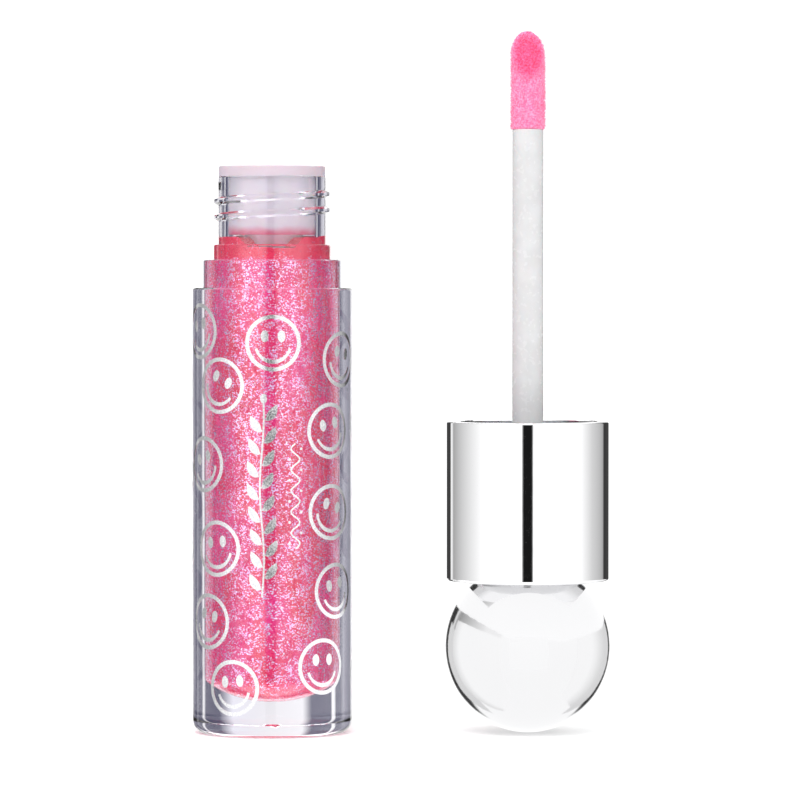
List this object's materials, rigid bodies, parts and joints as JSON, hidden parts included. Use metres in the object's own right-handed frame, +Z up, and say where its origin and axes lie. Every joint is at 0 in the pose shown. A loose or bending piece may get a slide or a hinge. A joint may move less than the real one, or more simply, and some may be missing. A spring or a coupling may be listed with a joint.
{
  "type": "lip gloss tube",
  "caption": "Clear threaded lip gloss bottle with wiper and fill, and its unscrewed ball-topped cap standing beside it with the flocked wand up.",
  "frame": {"origin": "on the bottle's axis, in the plane that the bottle and the cap stand on", "axes": "+Z up along the bottle's axis; +X from the bottle towards the standing cap; -Y is the front, which the applicator's slanted face looks at"},
  "size_m": [0.0524, 0.0208, 0.0879],
  "materials": {
    "clear_plastic": "clear polished plastic with silver foil print",
    "wiper_plastic": "translucent natural plastic",
    "gloss_fill": "pearly hot pink gel with fine glitter",
    "plated_shell": "bright plated plastic",
    "plated_ball": "soft bright plated plastic",
    "white_plastic": "moulded white plastic",
    "seal_foam": "soft closed-cell liner",
    "stem_plastic": "smooth white plastic",
    "core_plastic": "smooth white plastic",
    "flock": "short pink flock fibres"
  },
  "bodies": {
    "bottle": {"bottle": "clear_plastic", "wiper": "wiper_plastic", "gloss": "gloss_fill"},
    "gasket": {"seal_gasket": "seal_foam"},
    "cap": {"cap_shell": "plated_shell", "ball_knob": "plated_ball", "inner_cap": "white_plastic", "stem": "stem_plastic", "applicator_core": "core_plastic", "applicator_flock": "flock"}
  },
  "joints": [
    {"name": "cap_turn_over", "type": "hinge", "parent": "bottle", "child": "gasket", "pos_m": [0.016, 0, 0.0815], "axis": [0, -1, 0], "range_deg": [0, 180]},
    {"name": "cap_twist", "type": "hinge", "parent": "gasket", "child": "cap", "pos_m": [0.032, 0, 0.039], "axis": [0, 0, 1], "range_deg": [0, 855]}
  ]
}
